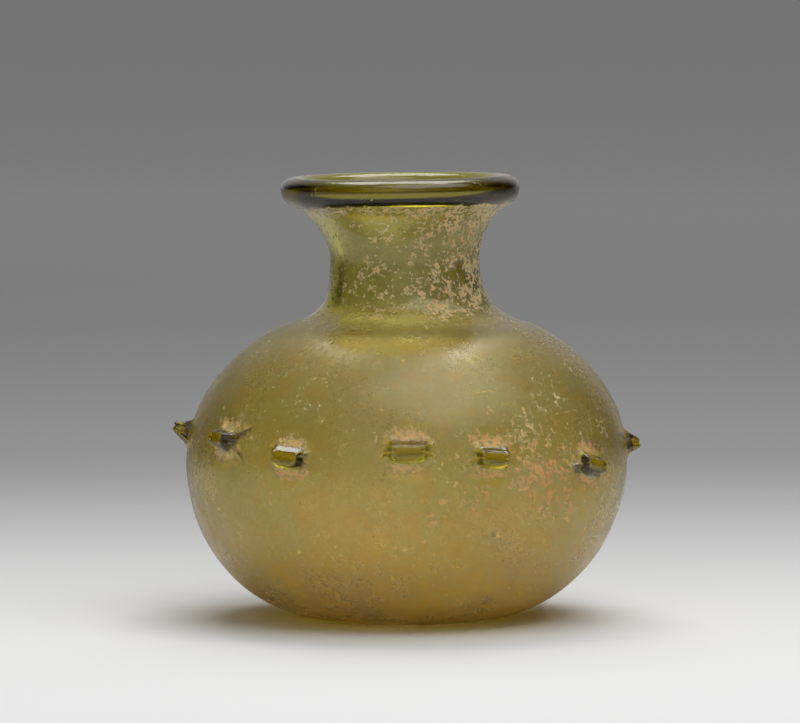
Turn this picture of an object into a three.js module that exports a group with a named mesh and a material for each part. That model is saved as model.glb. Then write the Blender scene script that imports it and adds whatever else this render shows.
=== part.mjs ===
// A small free-blown glass jar of late Roman type: a round belly with a ring of pinched nibs, a pinched-in
// neck and a thick rolled rim. Millimetres, +Z up. The origin is the middle of the ring it stands on, and
// the front is -Y. The jar is divided where the glassworker changed tools: blown body, jacked neck,
// rolled rim, nibs drawn out with pincers, and the ring of glass that the pontil left under the base.

import * as THREE from "three";
import { mergeVertices } from "three/addons/utils/BufferGeometryUtils.js";

// Radii of the outside
const FOOT_RADIUS = 16.7;
const BELLY_RADIUS = 45.15;
const SHOULDER_RADIUS = 23.6;
const WAIST_RADIUS = 15.13;
const FLARE_RADIUS = 21.2;
const RIM_RADIUS = 24.34;
const CREST_RADIUS = 21.3;

// Heights, each measured from the place below it
const BELLY_HEIGHT = 32.4;
const SHOULDER_RISE = 27.75;
const NECK_SEAM_RISE = 1.9;
const WAIST_RISE = 12.75;
const FLARE_RISE = 10.7;
const RIM_EDGE_RISE = 4.2;
const CREST_RISE = 2.2;

// Thickness of the glass
const FLOOR_WALL = 3.2;
const BELLY_WALL = 2.0;
const SHOULDER_WALL = 2.3;
const WAIST_WALL = 2.6;
const FLARE_WALL = 2.2;

// The rolled rim: its inner edge, and the crease where the rolled-in edge lies back on the flare
const MOUTH_RADIUS = 18.3;
const ROLL_OVERHANG = 2.5;

// The foot ring, and the base pushed up inside it
const FOOT_RING_WIDTH = 3.7;
const KICK_DEPTH = 2.6;

// The pontil's scar, a broken ring in the hollow of the base
const SCAR_RADIUS = 5.6;
const SCAR_WIDTH = 1.5;
const SCAR_DEPTH = 0.7;
const SCAR_BREAK = 0.2;
const SCAR_BREAKS_ROUND = 7;

// The nibs' common form
const NIB_ROOT_HEIGHT = 8.4;
const NIB_ROOT_SPREAD = 4.4;
const NIB_CREST_HEIGHT = 2.5;
const NIB_PINCH = 0.42;
const NIB_NOTCH = 0.22;

// What is made apart keeps this clearance from the wall that it sits on
const SEAT_GAP = 0.3;

// The nibs round the belly: degrees round from the front, rise above the widest girth, width of the
// crest, reach out from the wall, and tilt of the crest in degrees
const NIBS = [
  { turn: -90, rise: 5.2, width: 7.4, reach: 2.6, tilt: 3 },
  { turn: -55, rise: 5.6, width: 8.4, reach: 2.3, tilt: -4 },
  { turn: -31, rise: 3.2, width: 7.6, reach: 2.2, tilt: 2 },
  { turn: 0, rise: 5.0, width: 8.2, reach: 2.4, tilt: -1 },
  { turn: 22, rise: 3.4, width: 7.2, reach: 2.2, tilt: 5 },
  { turn: 53, rise: 1.1, width: 7.8, reach: 2.3, tilt: -14 },
  { turn: 90, rise: 3.1, width: 7.0, reach: 2.2, tilt: -3 },
  { turn: 121, rise: 4.4, width: 7.8, reach: 2.3, tilt: 4 },
  { turn: 151, rise: 3.0, width: 8.0, reach: 2.4, tilt: -5 },
  { turn: 183, rise: 4.8, width: 7.3, reach: 2.2, tilt: 2 },
  { turn: 212, rise: 3.6, width: 8.1, reach: 2.4, tilt: -3 },
  { turn: 241, rise: 4.6, width: 7.6, reach: 2.3, tilt: 6 },
];

// The hand-made lean: how far the axis strays to the right at each place, and the tilt of the mouth
const SWAY = { foot: -0.35, belly: 0, shoulder: 0.5, waist: -0.3, rim: -1.4 };
const MOUTH_TILT = 0.8;

// Fineness of the faces, and how close two outline points lie before they count as one
const FACETS_ROUND = 48;
const NIB_CONTOUR_POINTS = 24;
const SAME_PLACE = 0.01;

// Places that the outside runs through, from the foot to the crest of the rim. The heading is in
// degrees, 0 outwards and 90 up, and the curve holds it for the given reach before and after the place.
const shoulderHeight = BELLY_HEIGHT + SHOULDER_RISE;
const neckSeamHeight = shoulderHeight + NECK_SEAM_RISE;
const waistHeight = shoulderHeight + WAIST_RISE;
const rimSeamHeight = waistHeight + FLARE_RISE;
const rimEdgeHeight = rimSeamHeight + RIM_EDGE_RISE;
const crestHeight = rimEdgeHeight + CREST_RISE;

const foot = { r: FOOT_RADIUS, z: 0, heading: 2, after: 16, wall: FLOOR_WALL };
const belly = { r: BELLY_RADIUS, z: BELLY_HEIGHT, heading: 90, before: 17.2, after: 13.5, wall: BELLY_WALL };
const shoulder = {
  r: SHOULDER_RADIUS, z: shoulderHeight, heading: 164.6, before: 9.8, after: 4.7, wall: SHOULDER_WALL,
};
const waist = { r: WAIST_RADIUS, z: waistHeight, heading: 90, before: 9.2, after: 4.5, wall: WAIST_WALL };
const flare = { r: FLARE_RADIUS, z: rimSeamHeight, heading: 24.5, before: 3, after: 2.4, wall: FLARE_WALL };
const rimEdge = { r: RIM_RADIUS, z: rimEdgeHeight, heading: 90, before: 2.3, after: 1.2 };
const crest = { r: CREST_RADIUS, z: crestHeight, heading: 180, before: 1.4, after: 1.5 };

const radians = THREE.MathUtils.degToRad;
const lerp = THREE.MathUtils.lerp;

// A smooth curve from one place to the next, leaving and arriving on their headings
function curveBetween(from, to) {
  const leave = radians(from.heading);
  const arrive = radians(to.heading);
  return new THREE.CubicBezierCurve(
    new THREE.Vector2(from.r, from.z),
    new THREE.Vector2(from.r + from.after * Math.cos(leave), from.z + from.after * Math.sin(leave)),
    new THREE.Vector2(to.r - to.before * Math.cos(arrive), to.z - to.before * Math.sin(arrive)),
    new THREE.Vector2(to.r, to.z),
  );
}

// The inner face of a stretch of wall: under the outer face by a thickness that changes evenly
function innerPoints(from, to, rows) {
  const curve = curveBetween(from, to);
  const points = [];
  for (let row = 0; row <= rows; row += 1) {
    const t = row / rows;
    const along = curve.getTangent(t);
    const wall = lerp(from.wall, to.wall, t);
    const inward = new THREE.Vector2(-along.y, along.x);
    points.push(curve.getPoint(t).addScaledVector(inward, wall));
  }
  return points;
}

// The part of an outline between two heights, cut exactly at them
function between(points, low, high) {
  const kept = [];
  points.forEach((point, index) => {
    if (index > 0) {
      const last = points[index - 1];
      for (const level of [low, high]) {
        if ((last.y - level) * (point.y - level) < 0) {
          const share = (level - last.y) / (point.y - last.y);
          kept.push(new THREE.Vector2(lerp(last.x, point.x, share), level));
        }
      }
    }
    if (point.y >= low && point.y <= high) {
      kept.push(point);
    }
  });
  return kept;
}

// Outlines joined end to end, with the shared end points once
function joined(...outlines) {
  const points = [];
  for (const outline of outlines) {
    for (const point of outline) {
      if (points.length === 0 || points[points.length - 1].distanceTo(point) > SAME_PLACE) {
        points.push(point);
      }
    }
  }
  return points;
}

// The underside of the base, from the middle of the pushed-up hollow out to the foot ring
const footRingInner = FOOT_RADIUS - FOOT_RING_WIDTH;
const kickTop = { r: 0, z: KICK_DEPTH, heading: 0, after: footRingInner * 0.45 };
const kickEdge = { r: footRingInner, z: 0, heading: -22, before: footRingInner * 0.4 };
const kick = curveBetween(kickTop, kickEdge).getPoints(5);

// The outside and the inside of the wall, both from the base up
const outside = joined(
  curveBetween(foot, belly).getPoints(10),
  curveBetween(belly, shoulder).getPoints(9),
  curveBetween(shoulder, waist).getPoints(9),
  curveBetween(waist, flare).getPoints(6),
  curveBetween(flare, rimEdge).getPoints(4),
  curveBetween(rimEdge, crest).getPoints(4),
);
const wallInside = joined(
  kick.map((point) => new THREE.Vector2(point.x, point.y + FLOOR_WALL)),
  innerPoints(foot, belly, 9),
  innerPoints(belly, shoulder, 8),
  innerPoints(shoulder, waist, 8),
  innerPoints(waist, flare, 6),
);

// The roll: over the crest and down into the crease where it lies back on the flare
const crease = wallInside[wallInside.length - 1];
const rollEdge = { r: MOUTH_RADIUS, z: rimEdgeHeight - 0.4, heading: 270, before: 1.5, after: 1 };
const rollCrease = { r: crease.x, z: crease.y, heading: 320, before: ROLL_OVERHANG * 0.4 };
const rollInside = joined(
  curveBetween(crest, rollEdge).getPoints(4),
  curveBetween(rollEdge, rollCrease).getPoints(3),
);

// Radius of the outside of the body at a height
function bodyRadius(height) {
  const above = outside.findIndex((point) => point.y > height);
  const top = outside[above];
  const bottom = outside[above - 1];
  return lerp(bottom.x, top.x, (height - bottom.y) / (top.y - bottom.y));
}

// Sideways stray of the axis at a height, easing from each place to the next
function sway(height) {
  const places = [
    [foot.z, SWAY.foot],
    [belly.z, SWAY.belly],
    [shoulder.z, SWAY.shoulder],
    [waist.z, SWAY.waist],
    [crest.z, SWAY.rim],
  ];
  let stray = places[0][1];
  for (let index = 1; index < places.length; index += 1) {
    const ease = THREE.MathUtils.smoothstep(height, places[index - 1][0], places[index][0]);
    stray += ease * (places[index][1] - places[index - 1][1]);
  }
  return stray;
}

// Gives a true shape the jar's own lean and the tilt of its mouth
function leaned(geometry) {
  const position = geometry.attributes.position;
  for (let index = 0; index < position.count; index += 1) {
    const x = position.getX(index);
    const z = position.getZ(index);
    const tilt = Math.tan(radians(MOUTH_TILT)) * THREE.MathUtils.smoothstep(z, waist.z, flare.z);
    position.setX(index, x + sway(z));
    position.setZ(index, z + x * tilt);
  }
  return geometry;
}

// A section turned round the upright axis. The section runs with the glass on its left.
function turned(section) {
  const geometry = new THREE.LatheGeometry(section, FACETS_ROUND);
  geometry.rotateX(Math.PI / 2);
  geometry.deleteAttribute("normal");
  geometry.deleteAttribute("uv");
  return mergeVertices(geometry, 1e-4);
}

function bodyGeometry() {
  const outer = between(outside, 0, neckSeamHeight);
  const inner = between(wallInside, 0, neckSeamHeight);
  return leaned(turned(joined(kick, outer, inner.reverse())));
}

function neckGeometry() {
  const outer = between(outside, neckSeamHeight, rimSeamHeight);
  const inner = between(wallInside, neckSeamHeight, rimSeamHeight);
  return leaned(turned([...outer, ...inner.reverse(), outer[0]]));
}

function rimGeometry() {
  const outer = between(outside, rimSeamHeight, crestHeight);
  const flareInside = between(wallInside, rimSeamHeight, crestHeight);
  return leaned(turned([...joined(outer, rollInside, flareInside.reverse()), outer[0]]));
}

// The ring of glass that stayed on the base when the pontil was cracked off: it follows the hollow of
// the base above, and its broken edge below goes up and down as it goes round
function scarGeometry() {
  const hollow = (r) => {
    const beyond = kick.findIndex((point) => point.x > r);
    const outer = kick[beyond];
    const inner = kick[beyond - 1];
    return lerp(inner.y, outer.y, (r - inner.x) / (outer.x - inner.x));
  };
  const innerRadius = SCAR_RADIUS - SCAR_WIDTH / 2;
  const outerRadius = SCAR_RADIUS + SCAR_WIDTH / 2;
  const top = (r) => hollow(r) - SEAT_GAP;
  const edge = top(outerRadius) - SCAR_DEPTH;
  const section = [
    new THREE.Vector2(innerRadius, top(innerRadius)),
    new THREE.Vector2(innerRadius + SCAR_WIDTH * 0.15, edge + SCAR_DEPTH * 0.3),
    new THREE.Vector2(SCAR_RADIUS, edge),
    new THREE.Vector2(outerRadius - SCAR_WIDTH * 0.1, edge + SCAR_DEPTH * 0.2),
    new THREE.Vector2(outerRadius, top(outerRadius)),
    new THREE.Vector2(innerRadius, top(innerRadius)),
  ];
  const geometry = turned(section);
  const position = geometry.attributes.position;
  for (let index = 0; index < position.count; index += 1) {
    const x = position.getX(index);
    const y = position.getY(index);
    const z = position.getZ(index);
    const share = THREE.MathUtils.clamp((top(Math.hypot(x, y)) - z) / SCAR_DEPTH, 0, 1);
    const round = Math.atan2(y, x);
    const wave = Math.sin(SCAR_BREAKS_ROUND * round) + Math.sin(3 * round + 1);
    position.setZ(index, z + SCAR_BREAK * share * wave);
  }
  return leaned(geometry);
}

// One contour point of a nib. Inset 0 is the root, spread into four arms round the pincers' marks, and
// inset 1 is the edge of the crest, a short bar a little swollen at its ends.
function nibContour(nib, phi, inset) {
  const cos = Math.cos(phi);
  const sin = Math.sin(phi);
  const squareCos = Math.sign(cos) * Math.abs(cos) ** 0.7;
  const squareSin = Math.sign(sin) * Math.abs(sin) ** 0.7;
  const bow = 1 - NIB_PINCH + NIB_PINCH * cos * cos;
  const rootX = (nib.width + NIB_ROOT_SPREAD) / 2 * squareCos * (1 - NIB_NOTCH * Math.abs(cos) ** 10);
  const rootY = NIB_ROOT_HEIGHT / 2 * squareSin * bow * 1.6;
  const crestX = nib.width / 2 * squareCos;
  const crestY = NIB_CREST_HEIGHT / 2 * squareSin * (0.8 + 0.4 * cos * cos);
  return new THREE.Vector2(lerp(rootX, crestX, inset), lerp(rootY, crestY, inset));
}

// The nib stands on the body's own curve: a point is carried round and up the wall from the nib's
// middle, then lifted off it along the wall's normal
function onBody(nib, across, up, lift) {
  const height = BELLY_HEIGHT + nib.rise + up;
  const radius = bodyRadius(height);
  const step = 0.5;
  const slope = (bodyRadius(height + step) - bodyRadius(height - step)) / (2 * step);
  const normalOut = 1 / Math.hypot(1, slope);
  const normalUp = -slope / Math.hypot(1, slope);
  const round = radians(nib.turn) + across / radius;
  const reach = radius + lift * normalOut;
  return [reach * Math.sin(round), -reach * Math.cos(round), height + lift * normalUp];
}

// Contours stacked from the root to the crest, steep and hollow-sided as drawn glass is
function nibGeometry(nib) {
  const levels = [
    { inset: 0, lift: 0 },
    { inset: 0.4, lift: 0.13 },
    { inset: 0.72, lift: 0.4 },
    { inset: 0.92, lift: 0.78 },
    { inset: 1.08, lift: 0.97 },
  ];
  const tilt = radians(nib.tilt);
  const positions = [];
  const addPoint = (x, y, lift) => {
    const across = x * Math.cos(tilt) - y * Math.sin(tilt);
    const up = x * Math.sin(tilt) + y * Math.cos(tilt);
    positions.push(...onBody(nib, across, up, SEAT_GAP + lift));
  };
  for (const level of levels) {
    for (let step = 0; step < NIB_CONTOUR_POINTS; step += 1) {
      const phi = (step / NIB_CONTOUR_POINTS) * 2 * Math.PI;
      const point = nibContour(nib, phi, level.inset);
      addPoint(point.x, point.y, nib.reach * level.lift);
    }
  }
  const backMiddle = levels.length * NIB_CONTOUR_POINTS;
  const crestMiddle = backMiddle + 1;
  addPoint(0, 0, 0);
  addPoint(0, 0, nib.reach);

  const faces = [];
  const lastRing = (levels.length - 1) * NIB_CONTOUR_POINTS;
  for (let step = 0; step < NIB_CONTOUR_POINTS; step += 1) {
    const next = (step + 1) % NIB_CONTOUR_POINTS;
    faces.push(backMiddle, next, step);
    faces.push(crestMiddle, lastRing + step, lastRing + next);
    for (let ring = 0; ring < lastRing; ring += NIB_CONTOUR_POINTS) {
      const above = ring + NIB_CONTOUR_POINTS;
      faces.push(ring + step, ring + next, above + next);
      faces.push(ring + step, above + next, above + step);
    }
  }
  const geometry = new THREE.BufferGeometry();
  geometry.setAttribute("position", new THREE.Float32BufferAttribute(positions, 3));
  geometry.setIndex(faces);
  return leaned(geometry);
}

// Weathered olive-green glass: cloudy on the body and neck, clear and glossy on the rim and nibs
function glass(colour, roughness) {
  return new THREE.MeshStandardMaterial({ color: colour, roughness, metalness: 0 });
}

function piece(name, geometry, material) {
  geometry.computeVertexNormals();
  const mesh = new THREE.Mesh(geometry, material);
  mesh.name = name;
  return mesh;
}

const jar = new THREE.Group();
jar.name = "pinched_glass_jar";
jar.add(piece("body", bodyGeometry(), glass(0x77714a, 0.45)));
jar.add(piece("neck", neckGeometry(), glass(0x5c5a3c, 0.4)));
jar.add(piece("rim", rimGeometry(), glass(0x5f5a16, 0.12)));
jar.add(piece("pontil_scar", scarGeometry(), glass(0x6d6840, 0.5)));
NIBS.forEach((nib, index) => {
  const name = `nib_${String(index + 1).padStart(2, "0")}`;
  jar.add(piece(name, nibGeometry(nib), glass(0x55531a, 0.15)));
});

export default jar;
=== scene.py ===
import math
from collections import namedtuple

import bpy
import numpy as np
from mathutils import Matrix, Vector


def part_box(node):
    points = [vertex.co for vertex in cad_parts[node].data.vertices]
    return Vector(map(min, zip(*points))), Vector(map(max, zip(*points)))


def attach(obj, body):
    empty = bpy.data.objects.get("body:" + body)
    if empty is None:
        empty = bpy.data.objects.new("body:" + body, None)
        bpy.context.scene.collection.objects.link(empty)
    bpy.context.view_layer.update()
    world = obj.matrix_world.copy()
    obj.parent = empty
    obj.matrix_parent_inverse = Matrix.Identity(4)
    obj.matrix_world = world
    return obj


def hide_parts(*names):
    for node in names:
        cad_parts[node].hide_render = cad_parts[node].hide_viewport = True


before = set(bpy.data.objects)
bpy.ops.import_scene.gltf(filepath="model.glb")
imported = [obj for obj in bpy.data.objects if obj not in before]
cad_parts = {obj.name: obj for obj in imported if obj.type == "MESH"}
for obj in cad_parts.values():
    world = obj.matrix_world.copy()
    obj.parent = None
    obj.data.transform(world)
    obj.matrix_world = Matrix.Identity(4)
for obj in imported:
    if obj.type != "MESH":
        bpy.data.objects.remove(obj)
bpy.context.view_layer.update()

# A free-blown jar of olive glass with pinched nibs, weathered in the ground, on a sweep of paper graded with
# painted light and shade.
# Shapes are worked out in millimetres and written to the meshes in metres.
MM = 0.001
rng = np.random.default_rng(12)


def node_box(name):
    """A CAD node's lowest and highest corner, in millimetres."""
    low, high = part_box(name)
    return np.array(low) / MM, np.array(high) / MM


def eased(low, high, value):
    """0 below the low value and 1 above the high one, with an even ease between."""
    share = np.clip((value - low) / (high - low), 0.0, 1.0)
    return share**2 * (3 - 2 * share)


def bell(value, width, power=2):
    """1 at nothing, falling to either side as a bell of a width. A higher power makes it flat-topped."""
    return np.exp(-((value / width) ** power))


# Places that the outside of the wall runs through, as radius and height, with the heading of the curve
# there (0 outwards, 90 up), how far it holds it before and after, and the thickness of the glass.
Place = namedtuple("Place", "r z heading before after wall")

body_low, body_high = node_box("body")
rim_low, rim_high = node_box("rim")
belly_radius = (body_high[0] - body_low[0]) / 2
rim_radius = (rim_high[1] - rim_low[1]) / 2
BELLY_HEIGHT = 32.4
seam_height = body_high[2]
shoulder_height = seam_height - 1.9
waist_height = seam_height + 10.85
flare_height = waist_height + 10.7
edge_height = flare_height + 4.2
crest_height = edge_height + 2.2

FOOT_INNER_RADIUS = 13.0
KICK_DEPTH = 2.6
FLOOR_WALL = 3.2
kick_top = Place(0.0, KICK_DEPTH, 0.0, 0.0, 5.85, 0.0)
kick_edge = Place(FOOT_INNER_RADIUS, 0.0, -22.0, 5.2, 0.0, 0.0)
foot = Place(16.7, 0.0, 2.0, 0.0, 16.0, FLOOR_WALL)
belly = Place(belly_radius, BELLY_HEIGHT, 90.0, 17.2, 13.5, 2.0)
shoulder = Place(23.6, shoulder_height, 164.6, 9.8, 4.7, 2.3)
waist = Place(15.13, waist_height, 90.0, 9.2, 4.5, 2.6)
flare = Place(21.2, flare_height, 24.5, 3.0, 2.4, 2.2)
rim_edge = Place(rim_radius, edge_height, 90.0, 2.3, 1.2, 0.0)
crest = Place(21.3, crest_height, 180.0, 1.4, 1.5, 0.0)
mouth_edge = Place(18.3, edge_height - 0.4, 270.0, 1.5, 1.0, 0.0)
CREASE_HEADING = 320.0
CREASE_HOLD = 1.0

# Stretches of the outside: from one place to another, with how many points
WALL = ((foot, belly, 300), (belly, shoulder, 300), (shoulder, waist, 200), (waist, flare, 160))
BEAD = ((flare, rim_edge, 60), (rim_edge, crest, 60))

# The hand-made lean: how far the axis strays sideways at each height, and the tilt of the mouth.
SWAY_HEIGHTS = (0.0, BELLY_HEIGHT, shoulder_height, waist_height, crest_height)
SWAY_MM = (-0.35, 0.0, 0.5, -0.3, -1.4)
MOUTH_TILT = math.radians(0.8)

# Nibs from the front round to the viewer's right and on: width of the crest, tilt in degrees, curl of the
# tip up or down in mm, and the length in mm of the four arms that it spreads into, from the upper right
# down and round to the upper left. Their places and their reach are read off the frame.
Nib = namedtuple("Nib", "name width tilt curl arms")
NIBS = [
    Nib("nib_01", 7.4, 3, 0.5, (2.2, 2.6, 2.2, 2.6)),
    Nib("nib_02", 6.2, -4, 0.1, (5.4, 5.0, 1.0, 1.2)),
    Nib("nib_03", 7.4, -3, -0.2, (1.6, 1.2, 0.9, 2.2)),
    Nib("nib_04", 8.2, 0, -0.2, (2.0, 2.0, 2.2, 1.8)),
    Nib("nib_05", 7.2, -4, -0.2, (1.2, 2.4, 2.6, 1.2)),
    Nib("nib_06", 7.6, -14, -0.1, (0.9, 2.4, 3.0, 0.9)),
    Nib("nib_07", 7.0, -3, -0.4, (2.0, 1.8, 1.8, 2.2)),
    Nib("nib_08", 7.8, 4, 0.2, (2.4, 1.6, 2.8, 1.6)),
    Nib("nib_09", 8.0, -5, -0.3, (1.6, 2.2, 1.4, 3.2)),
    Nib("nib_10", 7.3, 2, 0.1, (3.0, 1.4, 1.8, 2.0)),
    Nib("nib_11", 8.1, -3, -0.2, (1.8, 2.6, 2.2, 1.4)),
    Nib("nib_12", 7.6, 6, 0.3, (2.6, 1.4, 3.0, 2.2)),
]
NIB_BAND = 6.5            # how far above and below the line of nibs the fine mesh runs
CORNERS = ((1, 1), (1, -1), (-1, -1), (-1, 1))

# The tongue of a nib, from its middle: upper edge, lower edge at its ends, and how much lower it hangs
TONGUE_TOP, TONGUE_FOOT, TONGUE_BELLY = 0.95, 0.55, 1.05
TONGUE_END = 0.9          # how far in from the ends it begins to slope
END_STEEPNESS = 1.5
FLANK = 3.1               # how far the slope runs
FLANK_HOLLOW = 2.6        # the power that hollows it
# An arm: where it leaves the tongue, its way and bow as shares of its length, its width and its height
ARM_INSET, ARM_RISE, ARM_OFFSET = 1.1, 0.5, 0.7
ARM_WAY = np.array([0.86, 0.62])
ARM_BOW = 0.077
ARM_HALF_WIDTH = 0.42
ARM_HEIGHT = 0.62
# The tongue's face sinks from a line along its middle towards its lips
SINK, SINK_MIDDLE, SINK_HALF_HEIGHT = 0.1, -0.3, 1.3
# The mark of a pincer's jaw above and below the tongue
JAW_HEIGHT, JAW_HALF_HEIGHT, JAW_DEPTH = 3.5, 1.7, 0.34
# The soil that clings above and below a nib, where the jaws left a hollow
CLING_HALF_WIDTH, CLING_HEIGHT, CLING_HALF_HEIGHT = 4.6, 3.2, 2.0

# Patches where soil clung: turn from the front in degrees, height on the wall, and the widths of the bell
# round and up it, in mm, with what the patch adds to the deposit and to the rust
Patch = namedtuple("Patch", "turn height round_jar up_wall deposit rust")
PATCHES = (
    Patch(40, 32, 15, 12, 0.5, 0.7),     # right of the middle
    Patch(8, 25, 14, 7, 0.3, 0.45),      # lower, at the middle
)

# Blower's marks: height in mm, waves round, waves up in radians per mm, and start
MARKS = ((0.10, 2, 0.05, 0.7), (0.07, 3, -0.09, 0.0), (0.035, 7, 0.21, 2.0))


# Outline
def bend(start, end, count):
    """Points of a cubic curve from one place to the next: its two inner control points lie along the
    headings, the start's reach after it and the end's reach before it."""
    share = np.linspace(0.0, 1.0, count)[:, None]
    leave, arrive = np.radians([start.heading, end.heading])
    a = np.array([start.r, start.z])
    d = np.array([end.r, end.z])
    b = a + start.after * np.array([math.cos(leave), math.sin(leave)])
    c = d - end.before * np.array([math.cos(arrive), math.sin(arrive)])
    rest = 1.0 - share
    return rest**3 * a + 3 * rest**2 * share * b + 3 * rest * share**2 * c + share**3 * d


def right_of(points):
    """Unit normals to the right of the way that a line of points runs, from central differences."""
    along = np.gradient(points, axis=0)
    along /= np.linalg.norm(along, axis=1, keepdims=True)
    return np.stack([along[:, 1], -along[:, 0]], axis=1)


def strung(*lines):
    """Lines of points joined end to end, each shared end point kept once."""
    return np.concatenate([lines[0]] + [line[1:] for line in lines[1:]])


def wall_inside(start, end, count):
    """The inner face of a stretch of wall: the outer curve set in along its normal by a thickness that
    runs evenly from one place's to the next."""
    line = bend(start, end, count)
    return line - right_of(line) * np.linspace(start.wall, end.wall, count)[:, None]


def section_line():
    """The section of the glass as one line of places, from the middle of the hollow base, out and up the
    outside, over the rim and down the inside to the middle of the floor."""
    kick = bend(kick_top, kick_edge, 60)
    flat = np.array([[kick_edge.r, kick_edge.z], [foot.r, foot.z]])
    outer = strung(kick, flat, *[bend(*stretch) for stretch in WALL + BEAD])
    inner = strung(kick + [0.0, FLOOR_WALL], *[wall_inside(*stretch) for stretch in WALL])
    crease = Place(*inner[-1], CREASE_HEADING, CREASE_HOLD, 0.0, 0.0)
    roll = strung(bend(crest, mouth_edge, 60), bend(mouth_edge, crease, 40))
    return strung(outer, roll, inner[::-1])


def section_path(step=0.1, rounding=3):
    """The section's line at even steps, with the distance along it of each point. Each point is averaged
    with a few neighbours, weighed as a bell, which rounds the creases as the fire does."""
    line = section_line()
    length = np.concatenate([[0.0], np.cumsum(np.linalg.norm(np.diff(line, axis=0), axis=1))])
    even = np.linspace(0.0, length[-1], int(length[-1] / step))
    line = np.stack([np.interp(even, length, line[:, 0]), np.interp(even, length, line[:, 1])], axis=1)
    longer = np.pad(line, ((rounding, rounding), (0, 0)), mode="reflect", reflect_type="odd")
    weights = np.hanning(2 * rounding + 3)[1:-1]
    weights /= weights.sum()
    smooth = np.stack([np.convolve(longer[:, axis], weights, mode="valid") for axis in (0, 1)], axis=1)
    smooth[0] = line[0]
    smooth[-1] = line[-1]
    smooth[:, 0] = np.maximum(smooth[:, 0], 0.0)
    return even, smooth


path_s, path = section_path()
path_out = right_of(path)
crest_index = int(np.argmax(path[:, 1]))


def at_height(height, inside=False):
    """Distance along the section at which the wall's outer or inner face reaches a height."""
    part = slice(crest_index, None) if inside else slice(0, crest_index)
    passed = np.flatnonzero(np.diff(np.sign(path[part, 1] - height)))
    return path_s[part][passed[-1]]


# Nibs, placed from the frame
def sway(height):
    """Sideways stray of the axis at a height: the named strays eased from one height to the next."""
    stray = np.full_like(np.asarray(height, float), SWAY_MM[0])
    for low, high, before, after in zip(SWAY_HEIGHTS, SWAY_HEIGHTS[1:], SWAY_MM, SWAY_MM[1:]):
        stray = stray + (after - before) * eased(low, high, height)
    return stray


TIP_DEPTH = 0.25    # what lies this close to the furthest point counts as the tip


def nib_seats():
    """Turn from the front, distance along the section, and reach of every nib, from the part of its CAD
    solid that stands furthest out."""
    turns, places, reaches = [], [], []
    for nib in NIBS:
        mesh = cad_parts[nib.name].data
        points = np.empty(3 * len(mesh.vertices), np.float32)
        mesh.vertices.foreach_get("co", points)
        points = points.reshape(-1, 3).astype(float) / MM
        out = np.hypot(points[:, 0] - sway(points[:, 2]), points[:, 1])
        tip = points[out > out.max() - TIP_DEPTH].mean(axis=0)
        turns.append(math.atan2(tip[0] - sway(tip[2]), -tip[1]))
        places.append(at_height(tip[2]))
        wall_radius = np.interp(places[-1], path_s, path[:, 0])
        reaches.append(out.max() - wall_radius)
    return np.array(turns), np.array(places), np.array(reaches)


nib_turns, nib_places, nib_reaches = nib_seats()
nib_line = float(nib_places.mean())


def wrapped(angle):
    """An angle brought to between minus half a turn and half a turn."""
    return (angle + math.pi) % (2 * math.pi) - math.pi


def crowded_columns(count, crowding=1.1, reach=math.radians(8.5)):
    """Angles round the jar whose spacing is closest at the nibs: the running sum of an even density with a
    flat-topped bump at each nib, read backwards at even steps."""
    turn = np.linspace(-math.pi, math.pi, 7201)
    density = np.ones_like(turn)
    for centre in nib_turns:
        density += crowding * bell(wrapped(turn - centre), reach, 4)
    total = np.concatenate([[0.0], np.cumsum((density[1:] + density[:-1]) / 2)])
    return np.interp(np.linspace(0.0, total[-1], count + 1)[:-1], total, turn)


def nib_wave(turn, spread=math.radians(9.0)):
    """How far up or down the section the line of nibs runs at each angle: the nibs' own places, each
    weighing as a bell round its angle."""
    away = wrapped(turn[:, None] - nib_turns[None, :])
    weight = bell(away, spread) + 1e-9
    return (weight * (nib_places - nib_line)).sum(axis=1) / weight.sum(axis=1)


def arm_ridge(across, up, start, end, bow):
    """A thin ridge bowed between two points of the wall, fading to its end: a bell across it, times what is
    left of its length, raised to the power 0.8."""
    way = end - start
    length = np.hypot(*way)
    share = np.clip(((across - start[0]) * way[0] + (up - start[1]) * way[1]) / length**2, 0.0, 1.0)
    aside = bow * 4 * share * (1 - share)
    nearest_across = start[0] + share * way[0] - aside * way[1] / length
    nearest_up = start[1] + share * way[1] + aside * way[0] / length
    away = np.hypot(across - nearest_across, up - nearest_up)
    return bell(away, ARM_HALF_WIDTH) * (1 - share) ** 0.8


def nib_tongue(across, up, half):
    """Share of a tongue's full lift: all of it between a straight upper edge and a bellied lower one, and
    outside them what is left of the flank, raised to a power that hollows it."""
    bottom = -TONGUE_FOOT - TONGUE_BELLY * np.clip(1 - (across / half) ** 2, 0.0, 1.0)
    outside_up = np.maximum(np.maximum(up - TONGUE_TOP, bottom - up), 0.0)
    outside_across = np.maximum(np.abs(across) - (half - TONGUE_END), 0.0) * END_STEEPNESS
    return np.clip(1 - np.hypot(outside_up, outside_across) / FLANK, 0.0, 1.0) ** FLANK_HOLLOW


def nib_arms(across, up, half, lengths):
    """The four thin arms that run out from a tongue's corners, each with its own length, as the highest of
    their ridges."""
    arms = np.zeros_like(across)
    for (side, rise), length in zip(CORNERS, lengths):
        start = np.array([side * (half - ARM_INSET), rise * ARM_RISE])
        end = start + length * ARM_WAY * [side, rise] + [side * ARM_OFFSET, 0]
        arms = np.maximum(arms, arm_ridge(across, up, start, end, -ARM_BOW * length * side * rise))
    return arms


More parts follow.
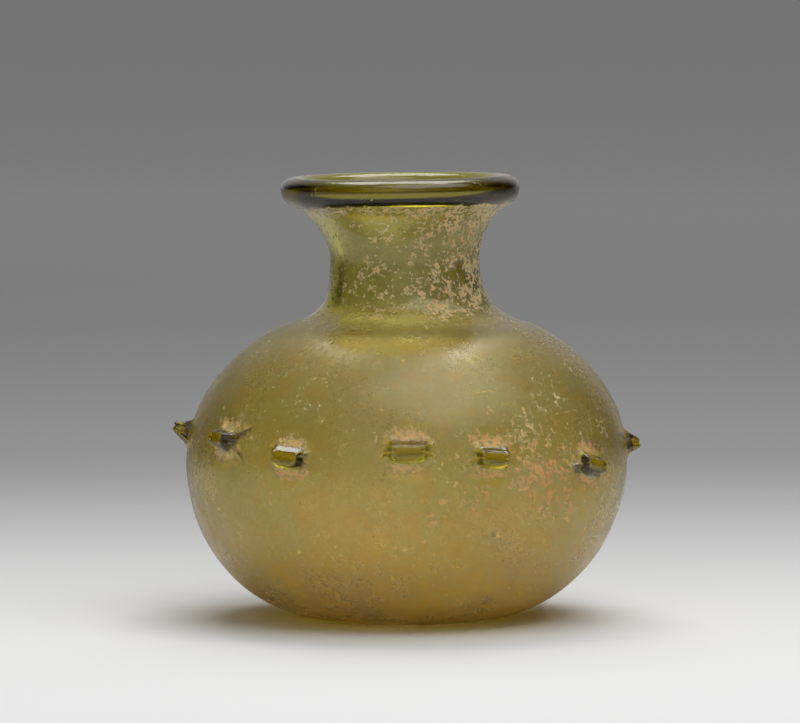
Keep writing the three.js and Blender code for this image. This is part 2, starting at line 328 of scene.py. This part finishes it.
def nib_form(across, up, nib, reach):
    """Lift of the glass at a nib: the higher of its tongue, a little sunk at its lips, and its arms, with a
    quarter of the lower of the two, less a shallow bowl above and below where the jaws bit. Returns the lift
    and how far the glass there is drawn out, 0 to 1."""
    half = nib.width / 2
    tongue = nib_tongue(across, up, half)
    arms = nib_arms(across, up, half, nib.arms)
    sink = SINK * ((up - SINK_MIDDLE) / SINK_HALF_HEIGHT) ** 2
    lift = reach * tongue * (1 - sink * tongue)
    arm_lift = ARM_HEIGHT * reach * arms
    together = np.maximum(lift, arm_lift) + 0.25 * np.minimum(lift, arm_lift)
    for rise in (1, -1):
        bowl = (across / (half - 0.2)) ** 2 + ((up - rise * JAW_HEIGHT) / JAW_HALF_HEIGHT) ** 2
        together -= JAW_DEPTH * np.exp(-(bowl**1.5))
    drawn = np.clip(np.maximum(tongue * 1.25 - 0.12, arms * 1.1), 0.0, 1.0)
    return together, drawn


def blower_marks(turn, height):
    """The slight unevenness of free-blown glass, in mm: three long waves that run slanting round and up the
    wall, and faint rings up it that the turning made, whose height sways round the jar. All of them start
    from nothing near the foot and fade to a quarter near the crest."""
    waves = 0.03 * np.sin(0.5 * height + 1.5 * np.sin(turn))
    for size, round_jar, up_wall, start in MARKS:
        waves = waves + size * np.sin(round_jar * turn + up_wall * height + start)
    fading = np.clip((height - 1.5) / 8.0, 0.0, 1.0)
    return waves * fading * np.clip((crest_height - 3 - height) / 10.0, 0.25, 1.0)


# The vessel
FINE_COLUMNS = 864        # round the band of nibs, and a third of them elsewhere
NIB_ROWS = 41
POLE_GAP = 0.15           # from the middle of the base or the floor to the first row
NIB_HALF_REACH = 12       # how far to either side a nib's form goes
WAVE_REACH = 19.0         # how far up and down the rows follow the nibs' line
PATCH_RADIUS = 45         # turns a soil patch's angle into mm round the wall
SHARES = ("haze", "deposit", "rust", "drawn")


def band(low, high, spacing):
    """Distances along the section from one to another, about a spacing apart, without the last."""
    count = max(int(round((high - low) / spacing)), 1)
    return np.linspace(low, high, count + 1)[:-1]


def vessel_rows():
    """Distances along the section for the rows of the mesh, in three lots: below the nibs, across them,
    where they crowd towards the tongue, and from above them over the rim to the middle of the floor."""
    end = path_s[-1] - POLE_GAP
    low, high = nib_line - NIB_BAND, nib_line + NIB_BAND
    toe = at_height(0.4)
    neck_foot, neck_top = at_height(seam_height), at_height(flare_height)
    rim_inside = at_height(flare_height, inside=True)
    neck_inside = at_height(seam_height, inside=True)
    floor_edge = at_height(9.0, inside=True)
    under = np.concatenate([band(POLE_GAP, toe, spacing=1.6), band(toe, low, spacing=1.35)])
    share = np.linspace(-1.0, 1.0, NIB_ROWS)
    across = nib_line + NIB_BAND * (0.5 * share + 0.5 * share**3)
    above = np.concatenate([
        band(high + 0.6, neck_foot, spacing=1.3),
        band(neck_foot, neck_top, spacing=0.95),
        band(neck_top, rim_inside, spacing=0.42),
        band(rim_inside, neck_inside, spacing=1.1),
        band(neck_inside, floor_edge, spacing=1.9),
        band(floor_edge, end, spacing=2.2),
        [end],
    ])
    return under, across, above


def nib_frames(place, angle):
    """Each nib with its reach, and the distance in mm of every point from its middle, along its tilted
    tongue to the right and square to it upwards."""
    for nib, centre, nib_place, reach in zip(NIBS, nib_turns, nib_places, nib_reaches):
        across = wrapped(angle - centre) * belly.r
        up = place - nib_place
        tilt = math.radians(nib.tilt)
        right = across * math.cos(tilt) + up * math.sin(tilt)
        rise = up * math.cos(tilt) - across * math.sin(tilt)
        yield nib, reach, right, rise


def nib_lift(rows, place, angle):
    """What the nibs add to the wall at each point: the lift, the curl of the tips, which is strongest where
    the lift is full, and how far the glass is drawn. All three fade out at the edges of the nibs' band."""
    lift, curl, drawn = (np.zeros_like(place) for _ in range(3))
    edge = np.clip((NIB_BAND - np.abs(rows[:, None] - nib_line)) / 1.2, 0.0, 1.0)
    for nib, reach, right, rise in nib_frames(place, angle):
        form, share = nib_form(right, rise, nib, reach)
        here = (np.abs(right) < NIB_HALF_REACH) * edge
        lift += form * here
        drawn = np.maximum(drawn, share * here)
        curl += nib.curl * np.clip(form / reach, 0, 1) ** 2 * here
    return lift, curl, drawn


def weathering(place, angle, height, inside, drawn):
    """The four shares that the glass reads at each point: haze, which thins on the neck and ends at the
    rim, deposit, rust and drawn glass. Deposit is thin everywhere, more on the neck and most on its right,
    with a bell at each patch, under the rim, and above and below each nib. Rust lies in the same patches
    and by the nibs."""
    near_nib = np.zeros_like(place)
    for _, _, right, rise in nib_frames(place, angle):
        cling = bell(right, CLING_HALF_WIDTH, 4) * bell(np.abs(rise) - CLING_HEIGHT, CLING_HALF_HEIGHT)
        near_nib = np.maximum(near_nib, cling)
    near_nib = np.where(inside, 0.0, near_nib)
    on_neck = eased(seam_height - 3, seam_height + 2, height)
    on_rim = eased(flare_height + 0.7, flare_height + 1.5, height)
    under_rim = bell(height - flare_height - 0.1, 1.1)
    haze = np.where(inside, 0.2, 1.0) * (1 - 0.85 * on_neck) * (1 - on_rim)
    deposit, rust = 0.12, 0.15
    for patch in PATCHES:
        away = wrapped(angle - math.radians(patch.turn)) * PATCH_RADIUS
        soil = bell(away, patch.round_jar) * bell(height - patch.height, patch.up_wall)
        deposit = deposit + patch.deposit * soil
        rust = rust + patch.rust * soil
    deposit = deposit + 0.2 * under_rim + (0.31 + 0.2 * np.sin(angle)) * on_neck
    deposit = np.where(inside, 0.05, np.maximum(deposit, 0.9 * near_nib)) * (1 - on_rim)
    rust = np.clip(rust + 0.35 * near_nib, 0, 1)
    return np.stack([haze, deposit, rust, drawn], axis=-1)


def vessel_block(rows, turn, with_nibs):
    """A block of the wall on the grid of its rows and columns, with the shares of its points. A point lies
    on the section at its distance along it, shifted with the nibs' line near the belly, moved out along the
    section's normal by the blower's marks and by the nibs' lift, turned round the axis, and leaned and
    tilted as the jar is. The inside follows the outside's marks by six tenths, as the wall is uneven."""
    inside = rows[:, None] > path_s[crest_index]
    calm = bell(rows[:, None] - nib_line, WAVE_REACH, 4)
    place = rows[:, None] + nib_wave(turn)[None, :] * np.where(inside, 0.0, calm)
    angle = np.broadcast_to(turn[None, :], place.shape)
    radius, height = (np.interp(place, path_s, path[:, axis]) for axis in (0, 1))
    out_r, out_z = (np.interp(place, path_s, path_out[:, axis]) for axis in (0, 1))

    lift = np.where(inside, -0.6, 1.0) * blower_marks(angle, height)
    curl = drawn = np.zeros_like(place)
    if with_nibs:
        nibs_lift, curl, drawn = nib_lift(rows, place, angle)
        lift = lift + nibs_lift
    radius = np.maximum(radius + lift * out_r, 0.0)
    lifted = height + lift * out_z + curl
    x = radius * np.sin(angle)
    y = -radius * np.cos(angle)
    z = lifted + x * math.tan(MOUTH_TILT) * eased(waist.z, flare.z, lifted)
    points = np.stack([x + sway(lifted), y, z], axis=-1)
    return points, weathering(place, angle, height, inside, drawn)


def ring_faces(first, second, count):
    """Two triangles for each step between two rings of as many points, the second further along."""
    here = np.arange(count)
    on = (here + 1) % count
    one = np.stack([first + here, first + on, second + on], axis=1)
    two = np.stack([first + here, second + on, second + here], axis=1)
    return np.concatenate([one, two])


def stitch_faces(coarse, fine, count, fine_further):
    """Four triangles for each step of a coarse ring that meets a ring with three times its points, turned
    over where the fine ring comes first."""
    here = np.arange(count)
    on = (here + 1) % count
    c0, c1 = coarse + here, coarse + on
    f0, f1, f2 = fine + 3 * here, fine + 3 * here + 1, fine + 3 * here + 2
    f3 = fine + 3 * on
    faces = np.concatenate([np.stack(corners, axis=1) for corners in
                            ((c0, f1, f0), (c0, f2, f1), (c0, c1, f2), (c1, f3, f2))])
    return faces if fine_further else faces[:, ::-1]


def make_mesh(name, points_mm, faces, smooth=True, shares=None):
    """A mesh object from points in millimetres and triangles, with a named share on every point."""
    mesh = bpy.data.meshes.new(name)
    mesh.vertices.add(len(points_mm))
    mesh.vertices.foreach_set("co", (np.asarray(points_mm) * MM).ravel())
    mesh.loops.add(len(faces) * 3)
    mesh.loops.foreach_set("vertex_index", np.asarray(faces, dtype=np.int32).ravel())
    mesh.polygons.add(len(faces))
    mesh.polygons.foreach_set("loop_start", np.arange(0, len(faces) * 3, 3, dtype=np.int32))
    mesh.polygons.foreach_set("use_smooth", np.full(len(faces), smooth))
    for share_name, values in (shares or {}).items():
        layer = mesh.attributes.new(share_name, "FLOAT", "POINT")
        layer.data.foreach_set("value", np.asarray(values, dtype=np.float32))
    mesh.update(calc_edges=True)
    mesh.validate()
    thing = bpy.data.objects.new(name, mesh)
    bpy.context.scene.collection.objects.link(thing)
    return thing


def blow_vessel():
    """The glass as one closed skin: three blocks of rings, the middle one with three times the columns, and
    a point at the middle of the base and of the floor."""
    fine = crowded_columns(FINE_COLUMNS)
    coarse = fine[::3]
    under, across, above = vessel_rows()
    points, shares, faces = [], [], []
    start = last_ring = last_count = 0
    for rows, turn, with_nibs in ((under, coarse, False), (across, fine, True), (above, coarse, False)):
        block, block_shares = vessel_block(rows, turn, with_nibs)
        count = len(turn)
        if with_nibs:
            faces.append(stitch_faces(last_ring, start, last_count, fine_further=True))
        elif start:
            faces.append(stitch_faces(start, last_ring, count, fine_further=False))
        for row in range(len(rows) - 1):
            faces.append(ring_faces(start + row * count, start + (row + 1) * count, count))
        points.append(block.reshape(-1, 3))
        shares.append(block_shares.reshape(-1, len(SHARES)))
        last_ring = start + (len(rows) - 1) * count
        last_count = count
        start += len(rows) * count
    here = np.arange(last_count)
    on = (here + 1) % last_count
    base, floor = path[0, 1], path[-1, 1]
    points.append(np.array([[sway(0.0), 0, base], [sway(floor), 0, floor]]))
    shares.append(np.array([[1, 0.2, 0, 0], [0.3, 0.1, 0, 0]]))
    faces.append(np.stack([np.full(last_count, start), on, here], axis=1))
    faces.append(np.stack([np.full(last_count, start + 1), last_ring + here, last_ring + on], axis=1))
    return make_mesh("blown_glass", np.concatenate(points), np.concatenate(faces),
                     shares=dict(zip(SHARES, np.concatenate(shares).T)))


vessel = blow_vessel()


def break_pontil_ring(middle=5.6, half_width=0.74, columns=120, rows=14):
    """The ring of glass that broke away with the pontil: a round band, closed on itself, that reaches up to
    the hollow base. Its lower edge is broken: its depth varies by two sine waves round the ring and a random
    chip at every column, and its sides are roughened by a few hundredths at random."""
    low, high = node_box("pontil_scar")
    full_depth = high[2] - low[2]
    turn = np.arange(columns) / columns * 2 * math.pi
    chips = 0.12 * np.sin(3 * turn + 1) + 0.1 * np.sin(8 * turn) + 0.14 * rng.random(columns)
    depth = np.clip(full_depth - chips, 0.3, full_depth)
    around = np.arange(rows)[:, None] / rows * 2 * math.pi
    radius = middle + half_width * np.cos(around) * (1 - 0.06 * rng.random((rows, columns)))
    height = high[2] - 0.5 * (1 + np.sin(around)) * depth
    points = np.stack([radius * np.sin(turn) + sway(0.0), -radius * np.cos(turn), height], axis=-1)
    faces = np.concatenate([ring_faces(row * columns, (row + 1) % rows * columns, columns)
                            for row in range(rows)])
    return make_mesh("pontil_ring", points.reshape(-1, 3), faces, smooth=False)


pontil_ring = break_pontil_ring()


# Materials
def linear(shade):
    """A screen colour in hex as the linear colour that a shader takes."""
    parts = [int(shade[at:at + 2], 16) / 255 for at in (1, 3, 5)]
    parts = [part / 12.92 if part <= 0.04045 else ((part + 0.055) / 1.055) ** 2.4 for part in parts]
    return parts + [1.0]


def add(tree, kind, inputs=None, output=0, **settings):
    """Add a node, set it, link or set its inputs, and give back one of its outputs."""
    node = tree.nodes.new(kind)
    for name, value in settings.items():
        setattr(node, name, value)
    for name, value in (inputs or {}).items():
        if isinstance(value, bpy.types.NodeSocket):
            tree.links.new(value, node.inputs[name])
        else:
            node.inputs[name].default_value = value
    return node.outputs[output] if node.outputs else node


def blank(name):
    """A new material and its empty node tree."""
    material = bpy.data.materials.new(name)
    material.use_nodes = True
    material.node_tree.nodes.clear()
    return material, material.node_tree


MATH, RANGE, MIX = "ShaderNodeMath", "ShaderNodeMapRange", "ShaderNodeMix"
WHITE = (1.0, 1.0, 1.0, 1.0)
OLIVE = (0.870, 0.830, 0.0, 1.0)   # with the density, what the glass lets by: most red, no blue
OLIVE_DENSITY = 330.0              # per metre
GLASS_IOR = 1.5

# Patterns on the glass: size in mm, how many finer sizes are laid over it, and how strong those are
PATTERNS = {
    "clouds": (17.0, 3.0, 0.5),     # how thick the film has grown
    "drifts": (5.5, 6.0, 0.62),     # where soil clung
    "edges": (2.2, 7.0, 0.68),      # the ragged outline of the crust
    "grains": (0.9, 5.0, 0.7),      # grit in it, coarser than real grit so that it shows
    "stain": (8.0, 4.0, 0.6),       # where iron stained it
}


def glass_readings(tree):
    """What the glass is worked out from: the place on it, the vertex shares, the patterns, and how little
    the glass is drawn."""
    spot = add(tree, "ShaderNodeTexCoord", output="Object")
    read = {name: add(tree, "ShaderNodeAttribute", attribute_name=name, output="Fac") for name in SHARES}
    for name, (size_mm, detail, rough) in PATTERNS.items():
        read[name] = add(tree, "ShaderNodeTexNoise", {
            "Vector": spot, "Scale": 1 / MM / size_mm, "Detail": detail, "Roughness": rough})
    read["undrawn"] = add(tree, RANGE, {
        "Value": read["drawn"], "From Min": 0.12, "From Max": 0.5, "To Min": 1.0, "To Max": 0.0},
        interpolation_type="SMOOTHSTEP")
    return spot, read


def film_share(tree, read):
    """How much dull film there is: haze times the clouds, frayed by the edges' noise, off the drawn glass."""
    cloud = add(tree, MATH, {0: read["edges"], 1: 0.7, 2: read["clouds"]}, operation="MULTIPLY_ADD")
    cloud = add(tree, RANGE, {
        "Value": cloud, "From Min": 0.6, "From Max": 1.1, "To Min": 0.4, "To Max": 1.0})
    film = add(tree, MATH, {0: read["haze"], 1: cloud}, operation="MULTIPLY")
    return add(tree, MATH, {0: film, 1: read["undrawn"]}, operation="MULTIPLY")


def crust_share(tree, read):
    """How much crust there is: what drifts, edges, grains and deposit add up to beyond a level, off the
    drawn glass."""
    heap = 0.0
    for name, weight in (("drifts", 0.35), ("edges", 0.4), ("grains", 0.75), ("deposit", 0.25)):
        heap = add(tree, MATH, {0: read[name], 1: weight, 2: heap}, operation="MULTIPLY_ADD")
    crust = add(tree, RANGE, {
        "Value": heap, "From Min": 0.87, "From Max": 0.96, "To Min": 0.0, "To Max": 0.9},
        interpolation_type="SMOOTHSTEP")
    return add(tree, MATH, {0: crust, 1: read["undrawn"]}, operation="MULTIPLY")


def painted_glow_share(tree, spot, film):
    """How much painted glow the film of the lower body takes, a gold that stands in for light passing through
    the glass: all at the foot, none 32 mm up.
    """
    height = add(tree, "ShaderNodeSeparateXYZ", {0: spot}, output="Z")
    painted_glow = add(tree, RANGE, {
        "Value": height, "From Min": 3 * MM, "From Max": 32 * MM, "To Min": 1.0, "To Max": 0.0},
        interpolation_type="SMOOTHSTEP")
    return add(tree, MATH, {0: painted_glow, 1: film}, operation="MULTIPLY")


def film_colour(tree, read, gritty):
    """Gold film that greys where clouds and drifts are strong, speckled by the grains."""
    greyer = add(tree, MATH, {0: read["clouds"], 1: read["drifts"]}, operation="ADD")
    greyer = add(tree, RANGE, {"Value": greyer, "From Min": 0.82, "From Max": 1.18})
    colour = add(tree, MIX, {0: greyer, 6: linear("#ffc640"), 7: linear("#e8e09a")},
                 output=2, data_type="RGBA")
    return add(tree, MIX, {0: 0.6, 6: colour, 7: gritty}, output=2, data_type="RGBA", blend_type="MULTIPLY")


def crust_colour(tree, read, gritty):
    """Cream lime that turns to rust where stain, grains and the rust share are strong, with dark grit."""
    iron = add(tree, MATH, {0: read["rust"], 1: 0.5, 2: read["stain"]}, operation="MULTIPLY_ADD")
    iron = add(tree, MATH, {0: read["grains"], 1: 1.4, 2: iron}, operation="MULTIPLY_ADD")
    iron = add(tree, RANGE, {"Value": iron, "From Min": 1.2, "From Max": 1.9})
    colour = add(tree, MIX, {0: iron, 6: linear("#ffe294"), 7: linear("#dc8430")},
                 output=2, data_type="RGBA")
    return add(tree, MIX, {0: 1.0, 6: colour, 7: gritty}, output=2, data_type="RGBA", blend_type="MULTIPLY")


def glass_colour(tree, read, film, crust, painted_glow):
    """White for clear glass, under film, under crust, then the olive of the thick rim and the drawn nibs,
    then the painted glow of the lower body, a gold that stands in for light passing through the glass."""
    gritty = add(tree, RANGE, {
        "Value": read["grains"], "From Min": 0.3, "From Max": 0.7, "To Min": 0.6, "To Max": 1.1})
    thick = add(tree, RANGE, {
        "Value": read["haze"], "From Min": 0.0, "From Max": 0.06, "To Min": 1.0, "To Max": 0.0})
    thick = add(tree, MATH, {0: thick, 1: read["drawn"]}, operation="MAXIMUM")
    colour = WHITE
    for share, layer in (
        (film, film_colour(tree, read, gritty)),
        (crust, crust_colour(tree, read, gritty)),
        (thick, linear("#bab252")),
        # painted glow: gold low on the body, standing in for light passing through the glass
        (painted_glow, linear("#fad04a")),
    ):
        colour = add(tree, MIX, {0: share, 6: colour, 7: layer}, output=2, data_type="RGBA")
    return colour


def weathered_glass():
    """Olive glass, blown and fire-polished, then weathered in soil. The eye sees clear deep olive where the
    pincers drew it thick, a dull veil of film elsewhere that still lets light by, a painted glow of gold low
    down that stands in for light passing through the glass, and dry crusts of lime and iron with a ragged
    edge, raised a little above the glass."""
    material, tree = blank("olive_glass_blown_and_weathered_in_soil")
    spot, read = glass_readings(tree)
    film = film_share(tree, read)
    crust = crust_share(tree, read)
    # painted glow: a gold colour low on the body that stands in for light passing through the glass, and lets
    # less light by there
    painted_glow = painted_glow_share(tree, spot, film)
    rough, passed = 0.03, 1.0
    for share, roughens in ((film, 0.4), (crust, 0.45)):
        rough = add(tree, MATH, {0: share, 1: roughens, 2: rough}, operation="MULTIPLY_ADD")
    for share, stops in ((film, -0.09), (crust, -0.85), (painted_glow, -0.4)):
        passed = add(tree, MATH, {0: share, 1: stops, 2: passed}, operation="MULTIPLY_ADD")
    relief = add(tree, MATH, {0: read["grains"], 1: 0.25, 2: crust}, operation="MULTIPLY_ADD")
    relief = add(tree, MATH, {0: relief, 1: read["undrawn"]}, operation="MULTIPLY")
    surface = add(tree, "ShaderNodeBsdfPrincipled", {
        "Base Color": glass_colour(tree, read, film, crust, painted_glow),
        "Roughness": rough,
        "Transmission Weight": passed,
        "Normal": add(tree, "ShaderNodeBump", {"Height": relief, "Strength": 0.5, "Distance": 0.2 * MM}),
        "IOR": GLASS_IOR,
    })
    inside = add(tree, "ShaderNodeVolumeAbsorption", {"Color": OLIVE, "Density": OLIVE_DENSITY})
    add(tree, "ShaderNodeOutputMaterial", {"Surface": surface, "Volume": inside})
    return material


def scar_glass():
    """Olive glass, snapped off: sharp clean facets that catch the light in points."""
    material, tree = blank("olive_glass_snapped_off_the_pontil")
    surface = add(tree, "ShaderNodeBsdfPrincipled", {
        "Base Color": linear("#c9b66a"), "Roughness": 0.12, "Transmission Weight": 0.9, "IOR": GLASS_IOR})
    inside = add(tree, "ShaderNodeVolumeAbsorption", {"Color": OLIVE, "Density": OLIVE_DENSITY})
    add(tree, "ShaderNodeOutputMaterial", {"Surface": surface, "Volume": inside})
    return material


def paper_with_painted_light():
    """Matt paper, which the eye takes as an even sweep without gloss, with painted light and shade in its
    colour: eased from white in front of the jar to dark grey behind it, and back up to mid grey where the
    light falls away."""
    material, tree = blank("matt_paper_with_painted_light_and_shade")
    spot = add(tree, "ShaderNodeTexCoord", output="Object")
    depth = add(tree, "ShaderNodeSeparateXYZ", {0: spot}, output="Y")
    # painted light and shade: white for a pool of light in front of the jar, dark grey for shade behind it
    falling = add(tree, RANGE, {
        "Value": depth, "From Min": -165 * MM, "From Max": 415 * MM, "To Min": 0.83, "To Max": 0.28},
        interpolation_type="SMOOTHSTEP")
    # painted light: the paper brightens far behind, where the lamps' light falls away
    painted_light_far_back = add(tree, RANGE, {
        "Value": depth, "From Min": 500 * MM, "From Max": 2100 * MM, "To Min": 0.0, "To Max": 0.32},
        interpolation_type="SMOOTHSTEP")
    shade = add(tree, MATH, {0: falling, 1: painted_light_far_back}, operation="ADD")
    surface = add(tree, "ShaderNodeBsdfPrincipled", {
        "Base Color": shade, "Roughness": 1.0, "Specular IOR Level": 0.0})
    add(tree, "ShaderNodeOutputMaterial", {"Surface": surface})
    return material


vessel.data.materials.append(weathered_glass())
pontil_ring.data.materials.append(scar_glass())
for piece, slot in ((vessel, "weathered_glass"), (pontil_ring, "scar_glass")):
    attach(piece, "root")
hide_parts("body", "neck", "rim", *[nib.name for nib in NIBS])
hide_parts("pontil_scar")


# Studio
CAMERA_PLACE_MM = (-1.32, -1200, 136)
CAMERA_ANGLE = 86         # degrees up from straight down
CAMERA_LENS_MM = 265.2


def lay_floor():
    """A flat strip of paper off a wide roll, most of it behind the jar. Its sides and ends are in mm."""
    side, front, back = 1360, -1500, 18000
    corners = np.array([[-side, front, 0], [side, front, 0], [side, back, 0], [-side, back, 0]], float)
    floor = make_mesh("paper_floor", corners, np.array([[0, 1, 2], [0, 2, 3]]), smooth=False)
    floor.data.materials.append(paper_with_painted_light())


def hang_softbox(name, place_mm, aim_mm, width_mm, depth_mm, watts):
    """A rectangular soft light that faces a point."""
    light = bpy.data.lights.new(name, "AREA")
    light.shape = "RECTANGLE"
    light.size = width_mm * MM
    light.size_y = depth_mm * MM
    light.energy = watts
    lamp = bpy.data.objects.new(name, light)
    lamp.location = Vector(place_mm) * MM
    lamp.rotation_euler = (Vector(aim_mm) - Vector(place_mm)).to_track_quat("-Z", "Y").to_euler()
    bpy.context.scene.collection.objects.link(lamp)


def studio_air():
    """The room: grey in front, behind and above, falling to near black at the sides, where dark flags stand
    that darken the edges of clear glass."""
    world = bpy.data.worlds.new("studio_air")
    world.use_nodes = True
    tree = world.node_tree
    tree.nodes.clear()
    toward = add(tree, "ShaderNodeTexCoord", output="Generated")
    aside = add(tree, "ShaderNodeSeparateXYZ", {0: toward}, output="X")
    aside = add(tree, MATH, {0: aside}, operation="ABSOLUTE")
    grey = add(tree, RANGE, {
        "Value": aside, "From Min": 0.3, "From Max": 0.75, "To Min": 0.45, "To Max": 0.012},
        interpolation_type="SMOOTHSTEP")
    light = add(tree, "ShaderNodeBackground", {"Color": grey})
    add(tree, "ShaderNodeOutputWorld", {"Surface": light})
    bpy.context.scene.world = world


def set_camera():
    """A long lens 1.2 m in front of the jar, looking 4 degrees down on it."""
    camera = bpy.data.objects.new("camera", bpy.data.cameras.new("camera"))
    camera.location = Vector(CAMERA_PLACE_MM) * MM
    camera.rotation_euler = (math.radians(CAMERA_ANGLE), 0, 0)
    camera.data.lens = CAMERA_LENS_MM
    bpy.context.scene.collection.objects.link(camera)
    bpy.context.scene.camera = camera


lay_floor()
hang_softbox("softbox_above_behind", (0, 360, 800), (0, 0, 30), 560, 420, 3.4)
hang_softbox("softbox_front_top", (420, -380, 1450), (0, 0, 40), 1500, 1300, 13.0)
studio_air()
set_camera()
bpy.context.scene.view_settings.view_transform = "Standard"
